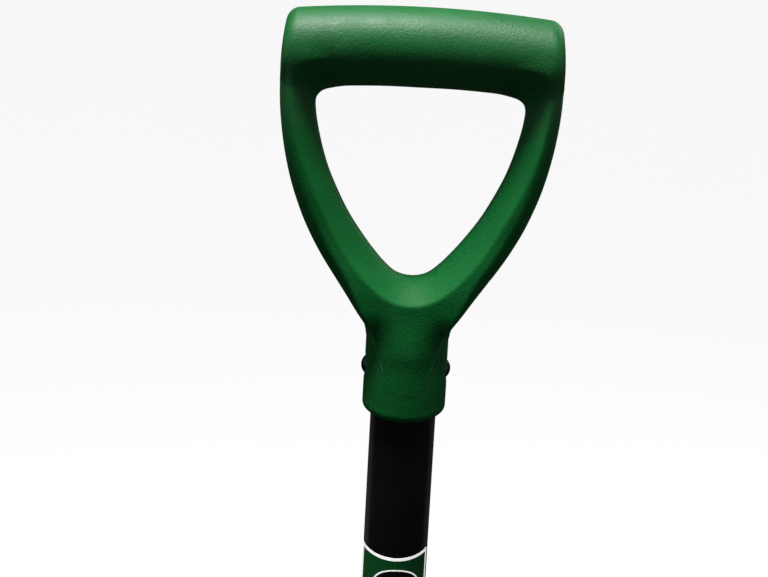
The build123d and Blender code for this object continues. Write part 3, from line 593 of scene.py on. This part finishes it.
def socket_field(x, z, r):
    """Round socket, slimmer near x = 0 where it enters the web."""
    radius = (
        SOCKET_R
        - 0.25 * smoothstep(12.0, 30.0, z)
        - 1.1 * smoothstep(33.0, 45.0, z) * smoothstep(16.0, 7.0, np.abs(x))
    )
    ends = np.maximum(SOCKET_LOW + SOCKET_SAG * (x / SOCKET_R) ** 2 - z, z - SOCKET_TOP)
    return rounded_overlap(r - radius, ends, SOCKET_ROUND)


def opening_field(x, y, z, depth):
    """Hand opening, straight at mid depth and bevelled out to the rim on both faces."""
    bevel = np.clip((y - LAND) / (depth - LAND), 0.0, 1.25) ** BEVEL_POWER
    return (1 - bevel) * sample(OPENING_FIELD, x, z) + bevel * sample(RIM_FIELD, x, z)


def bar_field(x, y, z):
    """Arched round bar with slightly coned, rounded ends."""
    lift = np.hypot(x, z - (BAR_Z - BAR_ARC)) - BAR_ARC
    end = BAR_END - 0.0045 * np.maximum(z - 166.0, 0.0) ** 2 - 0.0050 * y * y
    return rounded_overlap(np.hypot(lift, y) - BAR_R, np.abs(x) - end, BAR_END_ROUND)


def grip_field(x, y, z):
    side, face = np.abs(x), np.abs(y)
    r = np.hypot(x, y)
    depth = grip_half_depth(x, z)
    # arms join the socket softly only high on its sides
    width = 0.6 + 3.6 * smoothstep(17.5, 20.5, side) * smoothstep(32.0, 39.0, z)
    body = smooth_min(arms_field(x, face, z, depth), socket_field(x, z, r), width)
    body = smooth_max(body, -opening_field(x, face, z, depth) * BEVEL_SLOPE, 0.8)
    # the bar joins softly except at its outer ends
    inward = np.maximum(
        smoothstep(63.0, 55.0, side), smoothstep(5.0, 13.0, face) * smoothstep(66.0, 60.0, side)
    )
    width = 0.4 + 5.6 * inward * smoothstep(34.0, 54.0, side)
    body = smooth_min(body, bar_field(x, y, z), width)
    # bore for the shaft, then the cross rivet's hole and its seats
    body = np.maximum(body, -np.maximum(r - BORE_R, z - BORE_TOP))
    rivet_r = np.hypot(y, z - RIVET_Z)
    body = np.maximum(body, -(rivet_r - RIVET_HOLE_R))
    return np.maximum(body, -np.maximum(rivet_r - RIVET_SEAT_R, RIVET_SEAT_X - side))


# ------------------------------------------------------------------ D grip: meshing
def crossing_points(values, cells):
    """Per cell: sum of the places where its edges cross the surface, and their number."""
    total = np.zeros(cells + [3])
    hits = np.zeros(cells)

    def corner(dx, dy, dz):
        return values[dx : dx + cells[0], dy : dy + cells[1], dz : dz + cells[2]]

    for axis in range(3):
        others = [i for i in range(3) if i != axis]
        for u in (0, 1):
            for v in (0, 1):
                start = [0, 0, 0]
                start[others[0]], start[others[1]] = u, v
                end = list(start)
                end[axis] = 1
                first, second = corner(*start), corner(*end)
                crossed = (first < 0) != (second < 0)
                part = np.where(crossed, first / np.where(crossed, first - second, 1.0), 0.0)
                for k in range(3):
                    place = part if k == axis else float(start[k])
                    total[..., k] += np.where(crossed, place, 0.0)
                hits += crossed
    return total, hits


def crossing_quads(inside, index, cells):
    """One quad round every grid edge that crosses the surface."""
    quads = []
    for axis in range(3):
        u, v = (axis + 1) % 3, (axis + 2) % 3
        edges = np.argwhere(np.diff(inside, axis=axis))
        inner = (edges[:, u] > 0) & (edges[:, v] > 0)
        edges = edges[inner & (edges[:, u] < cells[u]) & (edges[:, v] < cells[v])]
        starts_inside = inside[tuple(edges.T)]
        corners = []
        for du, dv in ((1, 1), (0, 1), (0, 0), (1, 0)):
            cell = edges.copy()
            cell[:, u] -= du
            cell[:, v] -= dv
            corners.append(index[tuple(cell.T)])
        quad = np.stack(corners, axis=1)
        quad[~starts_inside] = quad[~starts_inside][:, ::-1]
        quads.append(quad)
    return np.concatenate(quads)


def pull_to_surface(field, points, longest, reach=0.05, rounds=4):
    """Moves points on to the field's zero level, by at most longest each round."""
    for _ in range(rounds):
        value = field(*points.T)
        gradient = np.empty_like(points)
        for k in range(3):
            offset = np.zeros(3)
            offset[k] = reach
            ahead, behind = field(*(points + offset).T), field(*(points - offset).T)
            gradient[:, k] = (ahead - behind) / (2 * reach)
        squared = np.maximum((gradient * gradient).sum(axis=1), 0.05)
        move = -(value / squared)[:, None] * gradient
        length = np.linalg.norm(move, axis=1)
        move *= np.minimum(1.0, longest / np.maximum(length, 1e-9))[:, None]
        points = points + move
    return points


def surface_nets(field, low, high, size):
    """Quad mesh of the field's zero level, from a grid of cubes of the given size."""
    axes = [np.arange(low[i], high[i] + size, size) for i in range(3)]
    cells = [len(axis) - 1 for axis in axes]
    values = np.empty([len(axis) for axis in axes])
    Y, Z = np.meshgrid(axes[1], axes[2], indexing="ij")
    for i, x in enumerate(axes[0]):
        values[i] = field(np.full(Y.shape, x), Y, Z)
    total, hits = crossing_points(values, cells)
    live = hits > 0
    index = np.full(cells, -1, dtype=np.int64)
    index[live] = np.arange(live.sum())
    points = np.array(low) + (np.argwhere(live) + total[live] / hits[live][:, None]) * size
    quads = crossing_quads(values < 0, index, cells)
    return pull_to_surface(field, points, longest=0.45 * size), quads


def make_grip():
    size = 0.8
    points, quads = surface_nets(grip_field, GRIP_LOW, GRIP_HIGH, size)
    points[:, 2] += BASE
    grip = new_mesh("d_grip_moulding", points * MM, quads, MATERIALS["green"])
    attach(grip, "shaft")
    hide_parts("d_grip")


make_grip()


# ------------------------------------------------------------------ digging blades
BLADE_R, BLADE_T = 80.0, 2.0  # outer radius of the bowed sheet, and its thickness
BLADE_TOP, BLADE_HALF, CORNER = 262.0, 66.0, 14.0
BLADE_SHOULDER = BLADE_TOP - CORNER  # where the rounded top corners start
BLADE_OUTLINE = np.array([  # half width, height
    (12.0, 0.0), (20.5, 8.0), (29.0, 20.0), (36.5, 34.0), (42.5, 49.0), (51.0, 79.0),
    (59.5, 119.0), (64.6, 155.0), (BLADE_HALF, 185.0),
])
TIP_SLOPE = 0.73 / 0.68  # half width gained per mm up, at the tip
EDGE_STEPS = np.array([0.0, 0.9, 1.8, 2.8, 3.8, 4.6])  # mesh lines in from the edge
INNER_COLUMNS = 97
RIB_LOW, RIB_HIGH, RIB_R, RIB_SINK = 95.0, 225.0, 7.5, 3.4  # pressed rib: a sunk round bar
GRIND_DEPTH, GRIND_WIDTH = 1.35, 4.2
SOFT_DEPTH, SOFT_WIDTH = 0.25, 0.9  # eased edge of the sheet


def blade_half_width(z):
    """Half width against height, by monotone cubic pieces, with rounded top corners."""
    widths, heights = BLADE_OUTLINE.T
    secant = np.diff(widths) / np.diff(heights)
    slope = np.empty(len(heights))
    slope[0], slope[-1] = TIP_SLOPE, 0.0
    slope[1:-1] = 2 * secant[:-1] * secant[1:] / (secant[:-1] + secant[1:])
    i = np.clip(np.searchsorted(heights, z, side="right") - 1, 0, len(heights) - 2)
    span = heights[i + 1] - heights[i]
    t = np.clip((z - heights[i]) / span, 0, 1)
    width = (
        (2 * t**3 - 3 * t**2 + 1) * widths[i]
        + (t**3 - 2 * t**2 + t) * span * slope[i]
        + (-2 * t**3 + 3 * t**2) * widths[i + 1]
        + (t**3 - t**2) * span * slope[i + 1]
    )
    width = np.where(z >= heights[-1], BLADE_HALF, width)
    top = np.clip(z - BLADE_SHOULDER, 0, CORNER)
    return width - (CORNER - np.sqrt(np.maximum(CORNER**2 - top**2, 0.0)))


def blade_grid():
    """Angle round the sheet, height and distance in from the edge, at each grid point."""
    rows = np.concatenate([
        EDGE_STEPS,
        np.linspace(6.5, BLADE_SHOULDER - 2, 116),
        BLADE_SHOULDER + CORNER * np.sin(np.radians(np.linspace(0, 90, 12))),
    ])
    slope = (blade_half_width(rows + 0.3) - blade_half_width(np.maximum(rows - 0.3, 0))) / 0.6
    slope[rows > BLADE_SHOULDER - 2] = 0.0
    slant = np.sqrt(1 + slope**2)
    half_angle = np.arcsin(np.minimum(blade_half_width(rows) / BLADE_R, 0.99))
    lines = []
    for limit, lean in zip(half_angle, slant):
        # steps are measured square to the outline, along the bowed sheet
        side = limit - np.minimum(EDGE_STEPS * lean / BLADE_R, limit * 0.9)
        middle = np.linspace(-side[-1], side[-1], INNER_COLUMNS + 2)[1:-1]
        lines.append(np.concatenate([-side, middle, side[::-1]]))
    angle = np.array(lines)
    height = np.repeat(rows[:, None], angle.shape[1], axis=1)
    edge = (half_angle[:, None] - np.abs(angle)) * BLADE_R / slant[:, None]
    return angle, height, np.minimum(edge, height)


def sheet_quads(rows, columns):
    """Outer skin, inner skin and the four edge walls of a sheet."""
    skin = rows * columns  # the inner skin's points follow the outer's

    def wall(start, end):
        return np.stack([start, end, end + skin, start + skin], axis=1)

    i, j = np.meshgrid(np.arange(rows - 1), np.arange(columns - 1), indexing="ij")
    first = (i * columns + j).ravel()
    across, above = first + 1, first + columns
    outer = np.stack([first, across, above + 1, above], axis=1)
    inner = np.stack([first, above, above + 1, across], axis=1) + skin
    bottom = np.arange(columns - 1)
    top = bottom + (rows - 1) * columns
    left = np.arange(rows - 1) * columns
    right = left + columns - 1
    return np.concatenate([
        outer,
        inner,
        wall(bottom, bottom + 1)[:, ::-1],
        wall(top, top + 1),
        wall(left, left + columns),
        wall(right, right + columns)[:, ::-1],
    ])


def make_blade(name, node, body, side):
    """Bowed sheet; side is 1 for the +Y blade and -1 for the -Y one."""
    angle, height, edge = blade_grid()
    sharpen = smoothstep(205.0, 175.0, height)  # the ground edge fades out upwards
    from_rib = np.hypot(BLADE_R * np.sin(angle), height - np.clip(height, RIB_LOW, RIB_HIGH))
    lift = np.sqrt(np.maximum(RIB_R**2 - from_rib**2, 0.0)) - RIB_SINK - 4.0 * (from_rib >= RIB_R)
    rib = smooth_max(lift, np.zeros_like(lift), 1.6)
    grind = GRIND_DEPTH * np.clip(1 - edge / GRIND_WIDTH, 0, 1) * sharpen
    soft = SOFT_DEPTH * np.clip(1 - edge / SOFT_WIDTH, 0, 1)

    def skin(r):
        points = [r * np.sin(angle), side * r * np.cos(angle), height]
        return np.stack(points, axis=-1).reshape(-1, 3)

    outer = skin(BLADE_R + rib - np.maximum(grind, soft))
    inner = skin(BLADE_R - BLADE_T + rib + soft * (1 - sharpen))
    quads = sheet_quads(*angle.shape)
    if side > 0:
        quads = quads[:, ::-1]
    blade = new_mesh(name, np.concatenate([outer, inner]) * MM, quads, MATERIALS["blade"])
    # read by the blade's material; larger on the inner skin, so its bare band is narrower
    attribute = blade.data.attributes.new("edge_mm", "FLOAT", "POINT")
    bare_edge = (edge / np.maximum(sharpen, 0.02)).ravel()
    both_skins = np.concatenate([bare_edge, bare_edge * 4.0])
    attribute.data.foreach_set("value", both_skins.astype(np.float32))
    blade.data.set_sharp_from_angle(angle=math.radians(38))
    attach(blade, body)
    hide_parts(node)


make_blade("fixed_blade_sheet", "fixed_blade", "shaft", 1)
make_blade("moving_blade_sheet", "moving_blade", "jaw", -1)


# ------------------------------------------------------------------ castings
def soften_casting(node, voxel):
    """Rounds a CAD solid by remeshing and relaxing it."""
    modifiers = NODES[node].modifiers
    weld = modifiers.new("weld", "WELD")
    weld.merge_threshold = 0.00002
    remesh = modifiers.new("round", "REMESH")
    remesh.mode = "VOXEL"
    remesh.voxel_size = voxel * MM
    remesh.use_smooth_shade = True
    relax = modifiers.new("relax", "SMOOTH")
    relax.factor = 0.5
    relax.iterations = 5


for casting in ("fixed_yoke", "moving_yoke"):
    soften_casting(casting, voxel=0.9)


# ------------------------------------------------------------------ floor (metres from here on)
FLOOR_RINGS = (0.4, 1.2, 2.2, 3.6, 5.0)  # radii of the flat part's rings
FLOOR_CURVE, FLOOR_TOP = 3.0, 6.0  # radius of the upward curve, and height of the wall
FLOOR_DROP = 0.0006  # gap under the blade tips
FLOOR_SIDES = 72


def floor_paper():
    mat = Shader("floor_paper")
    cloud = mat.noise(scale=1.3, detail=3.0)
    fine = mat.noise(scale=300.0)
    return mat.finish({
        "Base Color": mat.mix(cloud, under=(0.30, 0.30, 0.30), over=(0.33, 0.33, 0.328)),
        "Roughness": 0.9,
        "Normal": mat.bump(fine, strength=0.04, distance=0.0002),
        "Specular IOR Level": 0.1,
        "Emission Color": (1.0, 1.0, 1.0),
        "Emission Strength": 0.88,
    })


def make_floor():
    """Pale sweep: flat under the tool, rising in a wide curve all round."""
    flat = FLOOR_RINGS[-1]
    profile = [(r, 0.0) for r in FLOOR_RINGS]
    for turn in np.radians(np.linspace(0, 90, 14)[1:]):
        rise = FLOOR_CURVE * (1 - math.cos(turn))
        profile.append((flat + FLOOR_CURVE * math.sin(turn), rise))
    profile.append((flat + FLOOR_CURVE, FLOOR_TOP))
    n = FLOOR_SIDES
    points = []
    for r, z in profile:
        for i in range(n):
            turn = 2 * math.pi * i / n
            points.append((r * math.cos(turn), r * math.sin(turn), z - FLOOR_DROP))
    quads = [(i, i + 1, n - 2 - i, n - 1 - i) for i in range(n // 2 - 1)]
    for j in range(len(profile) - 1):
        for i in range(n):
            here, beside = j * n + i, j * n + (i + 1) % n
            quads.append((here, here + n, beside + n, beside))
    floor = new_mesh("floor", points, quads, floor_paper())
    floor.visible_diffuse = False
    floor.visible_glossy = False


make_floor()


# ------------------------------------------------------------------ world
scene = bpy.context.scene
SKY_DOWN, SKY_UP = 0.03, 0.22  # grey straight down and straight up
SKY_BETWEEN = ((0.40, 0.035), (0.52, 0.05), (0.72, 0.08))  # place from down to up, grey
BACKDROP_STRENGTH = 1.05  # white, seen by the camera only


def make_world():
    world = bpy.data.worlds.new("studio")
    scene.world = world
    world.use_nodes = True
    tree = world.node_tree
    tree.nodes.clear()
    kinds = (
        "OutputWorld", "Background", "Background", "LightPath", "MixShader", "TexCoord",
        "SeparateXYZ", "ValToRGB", "MapRange",
    )
    output, sky, backdrop, path, mix, coords, separate, ramp, height = [
        tree.nodes.new("ShaderNode" + kind) for kind in kinds
    ]
    backdrop.inputs["Color"].default_value = (1, 1, 1, 1)
    backdrop.inputs["Strength"].default_value = BACKDROP_STRENGTH
    sky.inputs["Strength"].default_value = 1.0
    height.inputs["From Min"].default_value = -1.0
    stops = ramp.color_ramp.elements
    stops[0].color = (SKY_DOWN, SKY_DOWN, SKY_DOWN, 1)
    stops[1].color = (SKY_UP, SKY_UP, SKY_UP, 1)
    for place, grey in SKY_BETWEEN:
        stops.new(place).color = (grey, grey, grey, 1)
    for source, target in (
        (coords.outputs["Generated"], separate.inputs[0]),
        (separate.outputs[2], height.inputs[0]),
        (height.outputs[0], ramp.inputs[0]),
        (ramp.outputs[0], sky.inputs[0]),
        (path.outputs["Is Camera Ray"], mix.inputs[0]),
        (sky.outputs[0], mix.inputs[1]),
        (backdrop.outputs[0], mix.inputs[2]),
        (mix.outputs[0], output.inputs[0]),
    ):
        tree.links.new(source, target)


make_world()

# ------------------------------------------------------------------ lights
# name, place, height aimed at on the Z axis, width, length, watts
AREA_LIGHTS = (
    ("ceiling", (-0.28, -0.37, 3.05), 1.1, 0.75, 0.40, 60.0),
    ("fill_left", (-3.1, -0.7, 1.7), 0.8, 1.4, 1.2, 6.5),
    ("fill_right", (3.1, -0.6, 1.4), 0.9, 1.4, 1.2, 5.0),
    ("fill_back", (1.8, 2.6, 2.6), 0.7, 1.6, 1.6, 14.0),
)
# soft lamps for the blades only: name, place, watts
SPOT_LIGHTS = (
    ("low_left", (-1.7, -1.5, 1.0), 170.0),
    ("low_right", (2.0, -0.9, 0.7), 75.0),
    ("low_back", (0.7, 2.2, 1.0), 120.0),
)
SPOT_AIM, SPOT_CONE, SPOT_BLEND, SPOT_SOFT = 0.22, math.radians(30.0), 0.6, 0.28


def place_light(light, place, aim):
    lamp = bpy.data.objects.new(light.name, light)
    scene.collection.objects.link(lamp)
    lamp.location = place
    lamp.rotation_euler = (Vector((0, 0, aim)) - Vector(place)).to_track_quat("-Z", "Y").to_euler()


for name, place, aim, width, length, power in AREA_LIGHTS:
    light = bpy.data.lights.new(name, "AREA")
    light.shape = "RECTANGLE"
    light.size, light.size_y, light.energy = width, length, power
    place_light(light, place, aim)

for name, place, power in SPOT_LIGHTS:
    light = bpy.data.lights.new(name, "SPOT")
    light.energy, light.spot_size = power, SPOT_CONE
    light.spot_blend, light.shadow_soft_size = SPOT_BLEND, SPOT_SOFT
    place_light(light, place, SPOT_AIM)

# ------------------------------------------------------------------ camera
CAMERA_PLACE = (-0.0126, -0.853973, BASE * MM + 0.2570)
PITCH, ROLL = math.radians(13.0), math.radians(3.1)  # looking down, and tilted


def make_camera():
    """Looks along +Y at the D grip."""
    lens = bpy.data.cameras.new("camera")
    lens.lens, lens.sensor_width = 85.0, 36.0
    lens.clip_start = 0.02
    camera = bpy.data.objects.new("camera", lens)
    scene.collection.objects.link(camera)
    ahead = Vector((0, math.cos(PITCH), -math.sin(PITCH)))
    right = Vector((1, 0, 0))
    up = Vector((0, math.sin(PITCH), math.cos(PITCH)))
    rolled_right = math.cos(ROLL) * right + math.sin(ROLL) * up
    rolled_up = -math.sin(ROLL) * right + math.cos(ROLL) * up
    turn = Matrix((rolled_right, rolled_up, -ahead)).transposed()
    camera.matrix_world = Matrix.Translation(CAMERA_PLACE) @ turn.to_4x4()
    scene.camera = camera


make_camera()
scene.view_settings.view_transform = "Standard"
scene.view_settings.look = "None"
